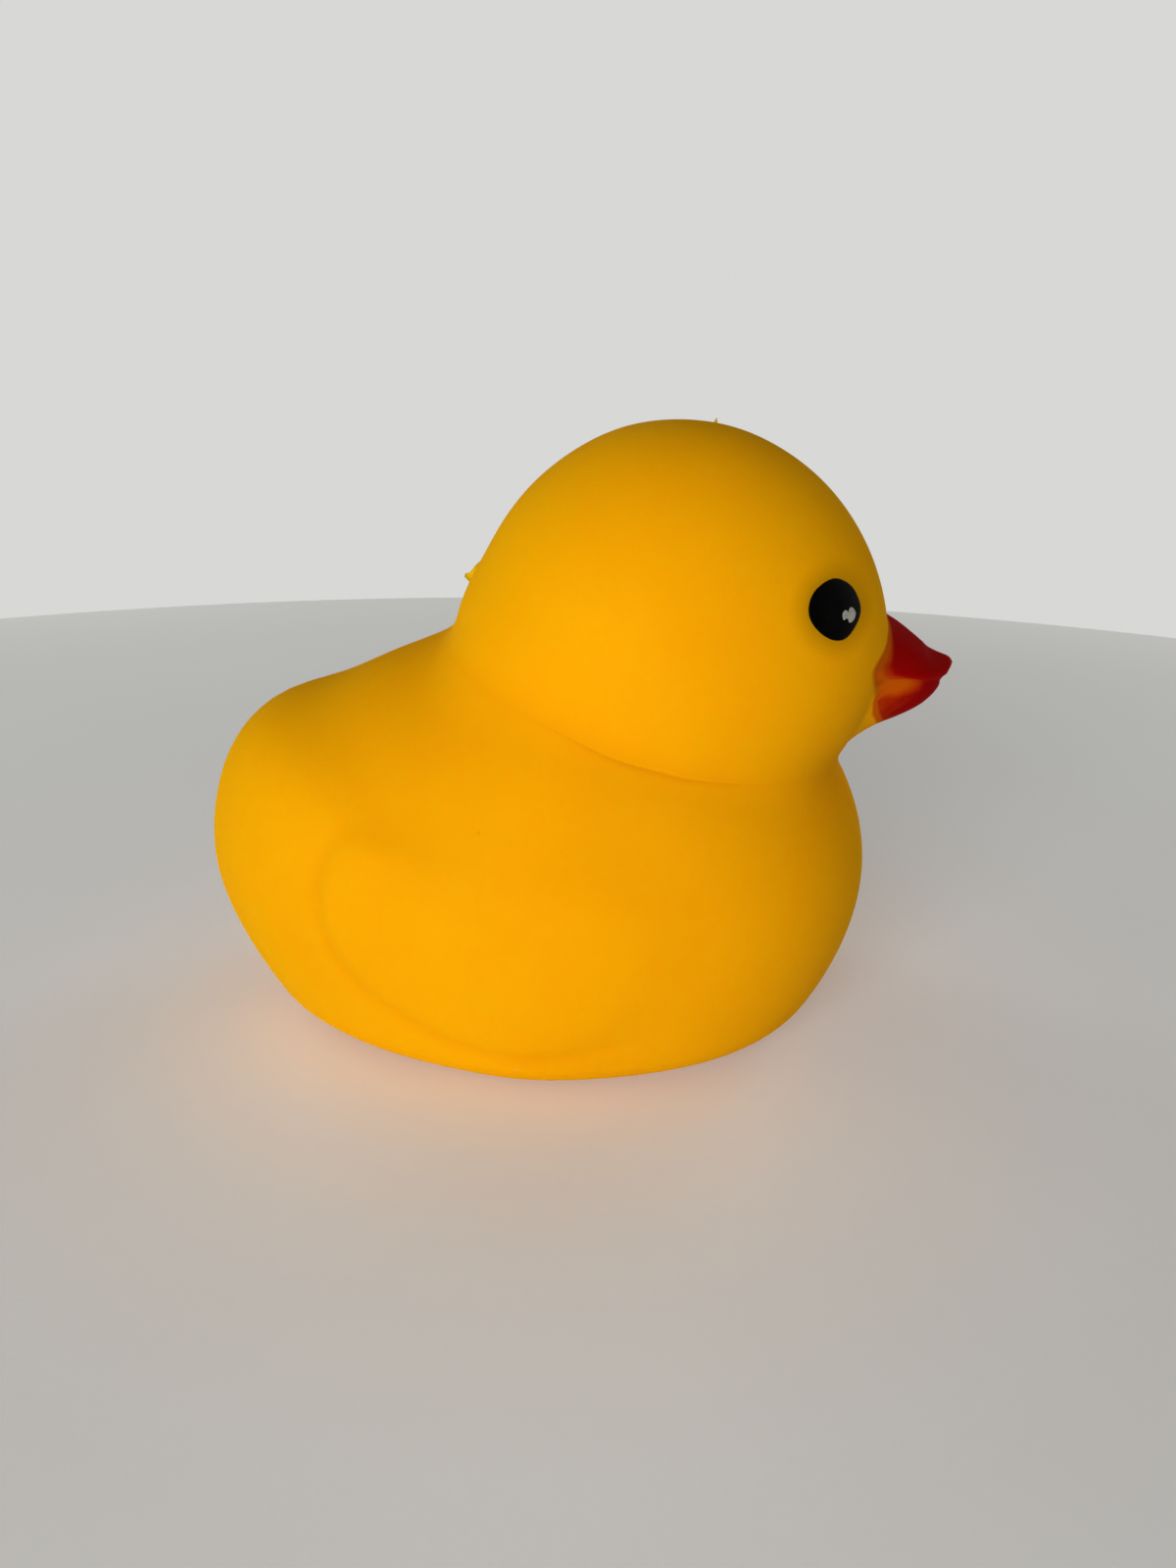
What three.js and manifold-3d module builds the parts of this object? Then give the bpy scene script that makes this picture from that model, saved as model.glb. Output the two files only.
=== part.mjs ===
import * as THREE from 'three';
import Module from 'manifold-3d';

// A soft foam toy duck, moulded in one piece, in millimetres.
// +X is the way the duck looks, +Y its left side, +Z up.
// The origin lies on the flat underside, below the middle of the body.

// Body: its side outline runs from the breast over the back and round the tail.
// The outline's points are shares of the half length and half height from the centre
const BODY_CENTRE = [0, 20];
const BODY_HALF_LENGTH = 43;
const BODY_HALF_HEIGHT = 38;
const BODY_HALF_WIDTH = 34.8;
const BODY_OUTLINE_SHARES = [
  [1.028, 0], [0.828, 0.539], [0.226, 0.947], [-0.349, 0.737], [-0.605, 0.613], [-0.833, 0.521],
  [-0.96, 0.289], [-0.977, -0.053], [-0.791, -0.463], [-0.465, -0.829], [0.079, -1.026], [0.758, -0.605],
];
const BODY_FULLNESS = 2.2;
const BODY_WIDENING = 0.004; // share of the width gained per millimetre toward the breast

// Head: its side outline runs from the face over the crown and down inside the body
const HEAD_CENTRE = [17.5, 48];
const HEAD_HALF_LENGTH = 28;
const HEAD_HALF_HEIGHT = 28.8;
const HEAD_HALF_WIDTH = 30.1;
const HEAD_OUTLINE_SHARES = [
  [1, 0], [0.918, 0.417], [0.661, 0.764], [0.268, 0.972], [-0.179, 0.976], [-0.561, 0.778],
  [-0.818, 0.458], [-0.982, 0], [-0.775, -0.753], [0, -0.997], [0.536, -0.743], [0.839, -0.378],
];
const HEAD_FULLNESS = 2.15;
const HEAD_WIDENING = -0.0028;

// Neck: the crease where head and body meet, and the soft edge round the underside
const NECK_CENTRE = [14, 40];
const NECK_LEAN = 17.5; // degrees the head's axis leans forward
const NECK_SOFTNESS = 2;
const UNDERSIDE_SOFTNESS = 7;

// Wings: a raised pad on each flank, outlined as seen from the side
const WING_CENTRE = [-2.5, 19];
const WING_OUTLINE = [
  [17.4, 20.5], [12.6, 29], [-3, 30.4], [-18.5, 31],
  [-22.8, 22.5], [-17.5, 13], [-3, 6.6], [10.5, 8],
];
const WING_RISE = 1.1;
const WING_RIM = 0.45; // height of the step at the pad's edge
const WING_ROOT = 2.5;

// Eyes: a thin oval of paint on each side of the face, as seen from the side
const EYE_CENTRE = [35.5, 56.8];
const EYE_HALF_LENGTH = 3.45;
const EYE_HALF_HEIGHT = 3.35;
const EYE_RISE = 0.35;
const EYE_ROOT = 1.5;

// Beak: ridge and chin lines as x, z points from inside the head to the tip
const BEAK_ROOT = 39;
const UPPER_TIP = 55.3;
const UPPER_RIDGE = [[39, 56], [46, 53], [49, 51], [51, 49.3], [53, 48.2], [55.3, 47]];
const UPPER_HALF_WIDTH = 10.4;
const UPPER_PEAK = 1.55; // below 2 the bill's back comes to a ridge
const LOWER_TIP = 53.6;
const LOWER_CHIN = [[39, 35.8], [44, 38], [47, 39.3], [50, 40.8], [52, 42.2], [53.6, 43.5]];
const LOWER_HALF_WIDTH = 10;
const LOWER_ROUND = 2;
const BEAK_TAPER = 3; // how late the bills narrow toward the tip
const BEAK_POINT = 1.5; // below 2 the bills narrow to a soft point
const BEAK_BLUNT = 0.985; // share of the length at which the point is cut off
const MOUTH_TIP = 44.1; // height of the mouth at the tip
const MOUTH_RISE = 0.1; // climb of the mouth's middle line per millimetre back
const MOUTH_GAP_TIP = 0.4;
const MOUTH_OPENING = 0.12; // gap gained per millimetre back
const MOUTH_DEPTH = 0.8;

// Fineness of the surfaces
const OUTLINE_SAMPLES = 240;
const OUTLINE_EASING = 3; // samples on each side that an outline is averaged over
const SKIN_COLUMNS = 84;
const SKIN_ROWS_BELOW = 30;
const SKIN_ROWS_ABOVE = 22;
const SKIN_GATHERING = 1.35; // above 1 the rows lie closer together at the crease
const BILL_STATIONS = 10;
const BILL_SIDES = 17;
const PAD_RINGS = 5;
const WING_SEGMENTS = 44;
const EYE_SEGMENTS = 28;
const SEARCH_STEPS = 40;

const AMBER = 0xf2aa0a;

const wasm = await Module();
wasm.setup();

// Solids from points and faces

function solidFrom(points, faces) {
  const mesh = new wasm.Mesh({
    numProp: 3,
    vertProperties: new Float32Array(points.flatMap((p) => [p.x, p.y, p.z])),
    triVerts: new Uint32Array(faces.flat()),
  });
  mesh.merge();
  return new wasm.Manifold(mesh);
}

// Triangles between two rings that lie one after the other in the point list
function band(first, second, count, flip) {
  const faces = [];
  for (let i = 0; i < count; i += 1) {
    const next = (i + 1) % count;
    const [a, b, c, d] = [first + i, first + next, second + next, second + i];
    if (flip(i)) faces.push([a, b, d], [b, c, d]);
    else faces.push([a, b, c], [a, c, d]);
  }
  return faces;
}

function fan(tip, ring, count, outward) {
  return Array.from({ length: count }, (_, i) => {
    const next = (i + 1) % count;
    return outward ? [tip, ring + i, ring + next] : [tip, ring + next, ring + i];
  });
}

// Outlines

function drawnTo(shares, [cx, cz], halfLength, halfHeight) {
  return shares.map(([x, z]) => [cx + x * halfLength, cz + z * halfHeight]);
}

function closedCurve(outline, [cx, cz]) {
  const points = outline.map(([x, z]) => new THREE.Vector3(x - cx, 0, z - cz));
  return new THREE.CatmullRomCurve3(points, true, 'catmullrom', 0.5);
}

// Height of an open line at a given x
function heightOn(line) {
  const curve = new THREE.SplineCurve(line.map(([x, z]) => new THREE.Vector2(x, z)));
  const points = curve.getPoints(OUTLINE_SAMPLES);
  return (x) => {
    const after = points.findIndex((p) => p.x >= x);
    if (after < 1) return points.at(after).y;
    const [a, b] = [points[after - 1], points[after]];
    return THREE.MathUtils.mapLinear(x, a.x, b.x, a.y, b.y);
  };
}

// Distance from the centre to the outline in any direction, eased along the outline
function reachOf(outline, centre) {
  const drawn = closedCurve(outline, centre).getPoints(OUTLINE_SAMPLES).slice(1)
    .map((p) => ({ angle: Math.atan2(p.z, p.x), length: Math.hypot(p.x, p.z) }))
    .sort((a, b) => a.angle - b.angle);
  const spokes = drawn.map(({ angle }, i) => {
    let sum = 0;
    for (let step = -OUTLINE_EASING; step <= OUTLINE_EASING; step += 1) {
      sum += drawn.at((i + step) % drawn.length).length;
    }
    return { angle, length: sum / (2 * OUTLINE_EASING + 1) };
  });
  const first = spokes[0];
  const last = spokes.at(-1);
  const ring = [
    { angle: last.angle - 2 * Math.PI, length: last.length },
    ...spokes,
    { angle: first.angle + 2 * Math.PI, length: first.length },
  ];
  return (angle) => {
    const after = ring.findIndex((spoke) => spoke.angle > angle);
    const [a, b] = [ring[after - 1], ring[after]];
    return THREE.MathUtils.mapLinear(angle, a.angle, b.angle, a.length, b.length);
  };
}

// Soft forms: a side outline swollen to a half width, so that each slice beside
// the middle plane is the same outline drawn in toward its centre

function swollenForm(outline, centre, halfWidth, fullness, widening) {
  const reach = reachOf(outline, centre);
  const widthAt = (x) => halfWidth * (1 + widening * (x - centre[0]));
  const spread = (x, z) => {
    const [dx, dz] = [x - centre[0], z - centre[1]];
    return Math.hypot(dx, dz) / reach(Math.atan2(dz, dx));
  };
  return {
    holds: (p) => spread(p.x, p.z) ** fullness + (Math.abs(p.y) / widthAt(p.x)) ** fullness < 1,
    sideAt: (x, z) => widthAt(x) * (1 - spread(x, z) ** fullness) ** (1 / fullness),
  };
}

// Distance along a direction at which a point leaves a form
function exitFrom(form, start, direction, far) {
  let [inner, outer] = [0, far];
  for (let i = 0; i < SEARCH_STEPS; i += 1) {
    const middle = (inner + outer) / 2;
    if (form.holds(start.clone().addScaledVector(direction, middle))) inner = middle;
    else outer = middle;
  }
  return inner;
}

function softMax(a, b, softness) {
  const overlap = Math.max(softness - Math.abs(a - b), 0);
  return Math.max(a, b) + overlap ** 2 / (4 * softness);
}

function softMin(a, b, softness) {
  return -softMax(-a, -b, softness);
}

// Skin: rays leave the neck's centre and stop at the outer one of body and head,
// with one row of points laid along the crease between them

function skin(body, head) {
  const neck = new THREE.Vector3(NECK_CENTRE[0], 0, NECK_CENTRE[1]);
  const far = 2 * (BODY_HALF_LENGTH + BODY_HALF_HEIGHT);
  const lean = new THREE.Quaternion().setFromAxisAngle(
    new THREE.Vector3(0, 1, 0), THREE.MathUtils.degToRad(NECK_LEAN));
  const direction = (azimuth, elevation) => new THREE.Vector3(
    Math.cos(elevation) * Math.cos(azimuth),
    Math.cos(elevation) * Math.sin(azimuth),
    Math.sin(elevation)).applyQuaternion(lean);

  const surfaceAt = (azimuth, elevation) => {
    const ray = direction(azimuth, elevation);
    const outer = softMax(exitFrom(body, neck, ray, far), exitFrom(head, neck, ray, far), NECK_SOFTNESS);
    const floor = ray.z < 0 ? -neck.z / ray.z : Infinity;
    const length = Number.isFinite(floor) ? softMin(outer, floor, UNDERSIDE_SOFTNESS) : outer;
    return neck.clone().addScaledVector(ray, length);
  };

  const creaseAt = (azimuth) => {
    let [low, high] = [-Math.PI / 4, Math.PI / 4];
    for (let i = 0; i < SEARCH_STEPS; i += 1) {
      const middle = (low + high) / 2;
      const ray = direction(azimuth, middle);
      if (exitFrom(head, neck, ray, far) > exitFrom(body, neck, ray, far)) high = middle;
      else low = middle;
    }
    return low;
  };

  const azimuths = Array.from({ length: SKIN_COLUMNS }, (_, i) => (i / SKIN_COLUMNS) * 2 * Math.PI);
  const creases = azimuths.map(creaseAt);
  const rows = [];
  for (let row = 1; row <= SKIN_ROWS_BELOW; row += 1) {
    const share = 1 - (1 - row / SKIN_ROWS_BELOW) ** SKIN_GATHERING;
    rows.push((crease) => THREE.MathUtils.lerp(-Math.PI / 2, crease, share));
  }
  for (let row = 1; row < SKIN_ROWS_ABOVE; row += 1) {
    const share = (row / SKIN_ROWS_ABOVE) ** SKIN_GATHERING;
    rows.push((crease) => THREE.MathUtils.lerp(crease, Math.PI / 2, share));
  }

  const points = rows.flatMap((rise) => azimuths.map((azimuth, i) => surfaceAt(azimuth, rise(creases[i]))));
  const mirrored = (i) => i >= SKIN_COLUMNS / 2;
  const faces = rows.slice(1).flatMap((_, row) =>
    band(row * SKIN_COLUMNS, (row + 1) * SKIN_COLUMNS, SKIN_COLUMNS, mirrored));
  const bottom = points.push(surfaceAt(0, -Math.PI / 2)) - 1;
  const top = points.push(surfaceAt(0, Math.PI / 2)) - 1;
  faces.push(...fan(bottom, 0, SKIN_COLUMNS, false));
  faces.push(...fan(top, (rows.length - 1) * SKIN_COLUMNS, SKIN_COLUMNS, true));
  return solidFrom(points, faces);
}

// Pad: a thin raised patch that follows the side of a form. Its height falls from
// the rise in the middle to the rim at its edge; the root sinks it into the form

function sidePad(form, centre, reach, segments, rise, rim, root) {
  const points = [];
  const faces = [];
  const raised = ([x, z], height) => new THREE.Vector3(x, form.sideAt(x, z) + height, z);
  const spokeEnd = (share, angle) => [
    centre[0] + share * reach(angle) * Math.cos(angle),
    centre[1] + share * reach(angle) * Math.sin(angle),
  ];
  const layers = [];
  for (let ring = 1; ring <= PAD_RINGS; ring += 1) {
    const share = Math.sin((ring / PAD_RINGS) * (Math.PI / 2));
    layers.push({ share, height: THREE.MathUtils.lerp(rim, rise, Math.sqrt(1 - share ** 4)) });
  }
  layers.push({ share: 1, height: -root });
  for (const { share, height } of layers) {
    for (let i = 0; i < segments; i += 1) {
      points.push(raised(spokeEnd(share, (i / segments - 0.5) * 2 * Math.PI), height));
    }
  }
  for (let layer = 1; layer < layers.length; layer += 1) {
    faces.push(...band((layer - 1) * segments, layer * segments, segments, () => false));
  }
  const crown = points.push(raised(centre, rise)) - 1;
  const floor = points.push(raised(centre, -root)) - 1;
  faces.push(...fan(crown, 0, segments, false));
  faces.push(...fan(floor, (layers.length - 1) * segments, segments, true));
  return solidFrom(points, faces);
}

function wing(body) {
  const reach = reachOf(WING_OUTLINE, WING_CENTRE);
  return sidePad(body, WING_CENTRE, reach, WING_SEGMENTS, WING_RISE, WING_RIM, WING_ROOT);
}

function eye(head) {
  const reach = (angle) => (EYE_HALF_LENGTH * EYE_HALF_HEIGHT)
    / Math.hypot(EYE_HALF_HEIGHT * Math.cos(angle), EYE_HALF_LENGTH * Math.sin(angle));
  return sidePad(head, EYE_CENTRE, reach, EYE_SEGMENTS, EYE_RISE, EYE_RISE, EYE_ROOT);
}

// Beak: upper and lower bill round a smaller core that closes the mouth inside

const mouthMiddle = (x) => MOUTH_TIP + MOUTH_RISE * (UPPER_TIP - x);
const mouthGap = (x) => MOUTH_GAP_TIP + MOUTH_OPENING * (UPPER_TIP - x);

// A bill runs from the root to its tip; half a curved section lies between its
// flat mouth side and its ridge or chin line
function bill(tip, halfWidth, bulge, ridge, mouth) {
  const points = [];
  const faces = [];
  for (let station = 0; station <= BILL_STATIONS; station += 1) {
    const share = BEAK_BLUNT * Math.sin((station / BILL_STATIONS) * (Math.PI / 2));
    const x = THREE.MathUtils.lerp(BEAK_ROOT, tip, share);
    const width = halfWidth * (1 - share ** BEAK_TAPER) ** (1 / BEAK_POINT);
    for (let side = 0; side < BILL_SIDES; side += 1) {
      const turn = (side / (BILL_SIDES - 1)) * Math.PI;
      const y = width * Math.sign(Math.cos(turn)) * Math.abs(Math.cos(turn)) ** (2 / bulge);
      const rise = Math.sin(turn) ** (2 / bulge);
      points.push(new THREE.Vector3(x, y, THREE.MathUtils.lerp(mouth(x), ridge(x), rise)));
    }
  }
  const upright = ridge(BEAK_ROOT) > mouth(BEAK_ROOT);
  for (let station = 1; station <= BILL_STATIONS; station += 1) {
    faces.push(...band((station - 1) * BILL_SIDES, station * BILL_SIDES, BILL_SIDES, () => false));
  }
  const sectionFan = (start) => Array.from({ length: BILL_SIDES - 2 },
    (_, i) => [start, start + i + 2, start + i + 1]);
  faces.push(...sectionFan(0));
  faces.push(...sectionFan(BILL_STATIONS * BILL_SIDES).map(([a, b, c]) => [a, c, b]));
  return solidFrom(points, upright ? faces : faces.map(([a, b, c]) => [a, c, b]));
}

function beak() {
  const ridge = heightOn(UPPER_RIDGE);
  const chin = heightOn(LOWER_CHIN);
  const roof = (x) => mouthMiddle(x) + mouthGap(x) / 2;
  const bed = (x) => mouthMiddle(x) - mouthGap(x) / 2;
  const upper = bill(UPPER_TIP, UPPER_HALF_WIDTH, UPPER_PEAK, ridge, roof);
  const lower = bill(LOWER_TIP, LOWER_HALF_WIDTH, LOWER_ROUND, chin, bed);
  const core = bill(LOWER_TIP - MOUTH_DEPTH, LOWER_HALF_WIDTH - MOUTH_DEPTH, LOWER_ROUND,
    chin, (x) => roof(x) + MOUTH_DEPTH);
  return upper.add(lower).add(core);
}

// The whole duck

function duck() {
  const bodyOutline = drawnTo(BODY_OUTLINE_SHARES, BODY_CENTRE, BODY_HALF_LENGTH, BODY_HALF_HEIGHT);
  const headOutline = drawnTo(HEAD_OUTLINE_SHARES, HEAD_CENTRE, HEAD_HALF_LENGTH, HEAD_HALF_HEIGHT);
  const body = swollenForm(bodyOutline, BODY_CENTRE, BODY_HALF_WIDTH, BODY_FULLNESS, BODY_WIDENING);
  const head = swollenForm(headOutline, HEAD_CENTRE, HEAD_HALF_WIDTH, HEAD_FULLNESS, HEAD_WIDENING);
  const leftWing = wing(body);
  const leftEye = eye(head);
  return [
    beak(),
    leftWing, leftWing.mirror([0, 1, 0]),
    leftEye, leftEye.mirror([0, 1, 0]),
  ].reduce((whole, piece) => whole.add(piece), skin(body, head));
}

function meshFrom(solid, name, colour) {
  const { vertProperties, triVerts, numProp } = solid.getMesh();
  const geometry = new THREE.BufferGeometry();
  const positions = new Float32Array((vertProperties.length / numProp) * 3);
  for (let i = 0; i < positions.length / 3; i += 1) {
    for (let axis = 0; axis < 3; axis += 1) positions[3 * i + axis] = vertProperties[numProp * i + axis];
  }
  geometry.setAttribute('position', new THREE.BufferAttribute(positions, 3));
  geometry.setIndex(new THREE.BufferAttribute(triVerts, 1));
  geometry.computeVertexNormals();
  const mesh = new THREE.Mesh(geometry, new THREE.MeshStandardMaterial({ color: colour, roughness: 0.7 }));
  mesh.name = name;
  return mesh;
}

const group = new THREE.Group();
group.name = 'toy_duck';
group.add(meshFrom(duck(), 'duck', AMBER));

export default group;
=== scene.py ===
import math

import bpy
import numpy as np
from mathutils import Matrix, Vector


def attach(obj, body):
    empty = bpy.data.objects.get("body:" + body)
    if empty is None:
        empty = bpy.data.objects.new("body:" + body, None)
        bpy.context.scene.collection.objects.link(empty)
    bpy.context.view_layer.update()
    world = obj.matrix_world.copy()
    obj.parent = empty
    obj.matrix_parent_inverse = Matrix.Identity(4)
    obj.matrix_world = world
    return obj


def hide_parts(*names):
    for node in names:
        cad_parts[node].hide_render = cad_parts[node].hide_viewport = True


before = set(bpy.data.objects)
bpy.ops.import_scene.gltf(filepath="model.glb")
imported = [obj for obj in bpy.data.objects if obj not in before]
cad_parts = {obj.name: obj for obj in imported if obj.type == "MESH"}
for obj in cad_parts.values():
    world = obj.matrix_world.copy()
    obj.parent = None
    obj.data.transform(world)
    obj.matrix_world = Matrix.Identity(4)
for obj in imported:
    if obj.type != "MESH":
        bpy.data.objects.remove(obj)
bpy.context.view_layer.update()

# A soft foam toy duck with a sprayed beak and printed eyes.
# The duck's sizes are in millimetres and its angles in degrees, in the frame of the solid model:
# +X is the way the duck looks, +Y its left side, +Z up, the underside lies on z = 0.

MM = 0.001
TINY = 1e-6
FAR = 90  # no point of the skin is this far from the neck or from an eye

# Body: side outline as x, z points, swollen to a half width
BODY_CENTRE = (0, 20)
BODY_OUTLINE = (
    (44.2, 20), (35.6, 40.5), (9.7, 56), (-15, 48), (-26, 43.3), (-35.8, 39.8),
    (-41.3, 31), (-42, 18), (-34, 2.4), (-20, -11.5), (3.4, -19), (32.6, -3),
)
BODY_HALF_WIDTH = 34.8
BODY_FULLNESS = 2.2  # 2 is an ellipse across, more is boxier
BODY_WIDENING = 0.004  # gain in width, as a share for each millimetre forward

# Head
HEAD_CENTRE = (17.5, 48)
HEAD_OUTLINE = (
    (45.5, 48), (43.2, 60), (36, 70), (25, 76), (12.5, 76.1), (1.8, 70.4),
    (-5.4, 61.2), (-10, 48), (-4.2, 26.3), (17.5, 19.3), (32.5, 26.6), (41, 37.1),
)
HEAD_HALF_WIDTH = 30.1
HEAD_FULLNESS = 2.15
HEAD_WIDENING = -0.0028

# Neck: the crease where head and body meet
NECK_CENTRE = np.array((14.0, 0.0, 40.0))
NECK_LEAN = 17.5  # the rays' level plane dips this far to the front
NECK_SOFTNESS = 2  # length over which head and body run into each other
NECK_SOFTER = ((50, 18, 2.5), (140, 22, 4))  # azimuth, span and gain of each softer stretch
UNDERSIDE_SOFTNESS = 7
WRINKLE_DEPTH = 0.3
WRINKLE_WIDTH = 0.35
WRINKLE_STRETCHES = ((-87, 17, 1), (94, 14, 1))  # azimuth, span and strength on each side

# Wings: a raised pad on each flank, crisp at its rear and lower edge
WING_CENTRE = (-2.5, 19)
WING_OUTLINE = (
    (17.4, 20.5), (12.6, 29), (-3, 30.4), (-18.5, 31),
    (-22.8, 22.5), (-17.5, 13), (-3, 7.3), (10.5, 9.2),
)
WING_RISE = 0.9
WING_RIM = 0.5
WING_CRISP_SIDE = -128  # direction of the crispest stretch of the edge
WING_CRISP_SHARES = (0.2, 0.75)  # the edge sharpens between these shares of the way to that side
WING_EDGE_CRISP = 2.2
WING_EDGE_SOFT = 9
WING_VALLEY = 0.2
WING_VALLEY_SHARES = (0.3, 0.8)  # the valley deepens between these

# Beak: ridge and chin lines from inside the head to the tip
BEAK_ROOT = 39
BEAK_SEARCH_X = 20.25  # inside the head, where the search for the beak's surface starts
BEAK_RAYS_FORWARD = 0.2  # rays that point less far forward than this can't meet the beak
BEAK_SOFTNESS_Z = (38, 43, 48, 53)  # heights on the face, and the softness of the join there
BEAK_SOFTNESS = (4, 6, 9, 1.5)
UPPER_TIP = 55.2
UPPER_RIDGE = ((39, 56), (46, 52.65), (49, 50.55), (51, 49), (53, 48.1), (54.5, 47.5), (55.2, 46.6))
UPPER_HALF_WIDTH = 11.8
UPPER_PEAK = 1.55  # 1 is a straight gable across, 2 an ellipse
LOWER_TIP = 53.55
LOWER_CHIN = ((39, 36), (44, 38.5), (47, 39.65), (50, 41.05), (52, 42.45), (53.55, 43.9))
LOWER_HALF_WIDTH = 11
LOWER_ROUND = 2
BEAK_TAPER = 3  # the bills keep their width for longer with more of this
BEAK_POINT = 1.5  # and end rounder
BEAK_OUTSIDE = 9  # level given to points well outside a bill, where 1 is its surface
TIP_LIP = 47.1  # height below which the upper tip slants back to the mouth
TIP_SLANT = 1.75
MOUTH_TIP = 44.1
MOUTH_SIDE = 45.8
MOUTH_SIDE_Y = 9
MOUTH_GAP_TIP = 0.4
MOUTH_GAP_CORNER = 2.1
MOUTH_GAP_X = (45.5, 51.4)  # the gap narrows between these two
MOUTH_CORNER_X = (42, 43.6)  # the groove fades in between these two
MOUTH_DEPTH = 0.6
MOUTH_DEPTH_TIP = 0.06
MOUTH_EDGE_UPPER = 6  # sharpness of the groove's edges
MOUTH_EDGE_LOWER = 3
MOUTH_LIP = 0.8  # the bills run into each other this far above and below the mouth

# Sprayed beak paint, outlined as seen from the front (y, z): where it starts and where it is full
PAINT_CENTRE = (0, 45.5)
PAINT_START = (
    (0, 53.3), (5.1, 52.85), (8.6, 52.15), (11.8, 50.9), (15.3, 49.7), (16.7, 48.5),
    (15.6, 46.9), (13.5, 45.2), (12, 43.3), (10.1, 41.5), (6.6, 39.8), (0, 38.6),
)
PAINT_FULL = (
    (0, 53.1), (4.8, 52.3), (7.6, 51.4), (9.6, 50.4), (11.3, 49.2), (12, 48.2),
    (10.8, 46.9), (7.6, 45.3), (6.6, 44.3), (7.4, 42.8), (5.2, 41.1), (0, 40.4),
)
PAINT_FEATHER = 3.4  # width of the first coat's edge, above the mouth and below it
PAINT_FEATHER_LOW = 0.8
PAINT_FIRST_COAT = 0.4  # share of the paint that is in the first coat, above the mouth and below it
PAINT_FIRST_COAT_LOW = 0.85
PAINT_LOW_Z = (46, 44)  # the first coat thickens, and its edge sharpens, between these heights
BARE = -8  # share of a coat far from the paint
TIP_GLOW_X = (54, 55.2)  # painted light: the tip turns paler and rosier, as if lit through its thin edge, between these two

# Eyes: a printed oval on each side of the face and a pale dab on it, as seen from the side
EYE_CENTRE = (35.5, 56.8)
EYE_OUTLINE = (
    (39, 56.4), (38.2, 58.35), (36.8, 59.6), (35, 60.1), (33, 59.3), (32.05, 57.95),
    (32.05, 56.35), (33.2, 54.75), (35.1, 53.55), (36.9, 53.5), (38.4, 54.85),
)
EYE_THICKNESS = 0.12
EYE_DOME = 0.3
EYE_SIDE_Y = 7.5  # the eyes lie further out than this
DAB_CENTRE = (37.25, 56.05)
DAB_OUTLINE = (
    (38.15, 56.1), (38.08, 55.72), (37.9, 55.4), (37.6, 55.2), (37.22, 55.2), (37.08, 55.5),
    (36.88, 55.7), (36.65, 55.64), (36.42, 55.6), (36.27, 56), (36.3, 56.4), (36.62, 56.64),
    (36.85, 56.54), (37.02, 56.38), (37.17, 56.6), (37.4, 56.82), (37.75, 56.68), (38.03, 56.35),
)
DAB_THICKNESS = 0.07
PRINT_ROOT = 0.3  # depth of the print's rim in the skin
PRINT_SKIRT = 1.01  # reach of that rim, as a share of the outline's
PRINT_LEVEL = 8  # the print stays level almost to its edge

# Remains of the mould's flash on the middle line: place (x, z), way out, then its outline
# as pairs of place along the skin and height
BURRS = (
    ((-7.8, 56.6), 155, (
        (-0.7, -0.3), (-0.4, 0.4), (-0.15, 1.05), (0.25, 1.1),
        (0.7, 0.6), (1.6, 0.4), (2.4, 0.1), (2.8, -0.3))),
    ((22.85, 76.3), 80, ((-0.5, -0.3), (-0.25, 0.35), (-0.05, 0.75), (0.1, 0.3), (0.4, -0.3))),
    ((29.9, 73.2), 55, ((-0.7, -0.3), (-0.1, 0.4), (0.4, 0.3), (0.8, -0.3))),
)
BURR_HALF_THICKNESS = 0.16

# A small stain above the right wing
STAIN_PLACE = (-4.1, -31.55, 33)
STAIN_RADIUS = 0.45

# Painted shade in the folds: its shares at the crease and in the wing's valley
FOLD_SHADE_CREASE = 0.8
FOLD_SHADE_CREASE_WIDTH = 2
FOLD_SHADE_WING = 0.7

# Fineness of the skin. Points lie closer in some stretches, given by middle, span and gain, in radians
LOOP_STEPS = 60
LOOP_BLUR = 3  # degrees over which an outline's corners are eased
SEARCH_STEPS = 26
SPACING_STEPS = 600
COLUMNS = 440
BEAK_COLUMNS = (0, 0.34, 2.2)
WING_COLUMNS = (2.0, 0.7, 0.7)
TAIL_COLUMNS = (math.pi, 0.5, -0.4)
ROWS_BELOW = 98
ROWS_ABOVE = 126
CREASE_ROWS = (0.05, 4)  # span and gain on both sides of the crease
BEAK_ROWS = (0.46, 0.24, 2.2)
MOUTH_ROWS = (0.405, 0.05, 4)
FRONT_SPAN = 0.45  # azimuths in front that have the beak's closer rows
PRINT_RINGS = 14
PRINT_FIRST_RING = 0.08
PRINT_SEGMENTS = 120


# Curves

def blend(low, high, share):
    return low + (high - low) * share


def smooth_step(value, low, high):
    share = np.clip((value - low) / (high - low), 0, 1)
    return share * share * (3 - 2 * share)


def bump_at(value, middle, spread):
    return np.exp(-((value - middle) / spread) ** 2)


def sum_of_bumps(value, stretches):
    return sum(gain * bump_at(value, middle, span) for middle, span, gain in stretches)


def smooth_loop(points):
    """Closed curve through the points, in cubic pieces."""
    here = np.asarray(points, float)
    before, after, beyond = (np.roll(here, shift, axis=0) for shift in (1, -1, -2))
    t = (np.arange(LOOP_STEPS) / LOOP_STEPS)[None, :, None]
    leaving = (after - before)[:, None] / 2
    arriving = (beyond - here)[:, None] / 2
    curve = (
        (2 * t**3 - 3 * t**2 + 1) * here[:, None]
        + (t**3 - 2 * t**2 + t) * leaving
        + (3 * t**2 - 2 * t**3) * after[:, None]
        + (t**3 - t**2) * arriving
    )
    return curve.reshape(-1, 2)


def mirrored(points):
    """Closed outline from the points of one half, the first and last on the middle line."""
    return tuple(points) + tuple((-y, z) for y, z in points[-2:0:-1])


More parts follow.
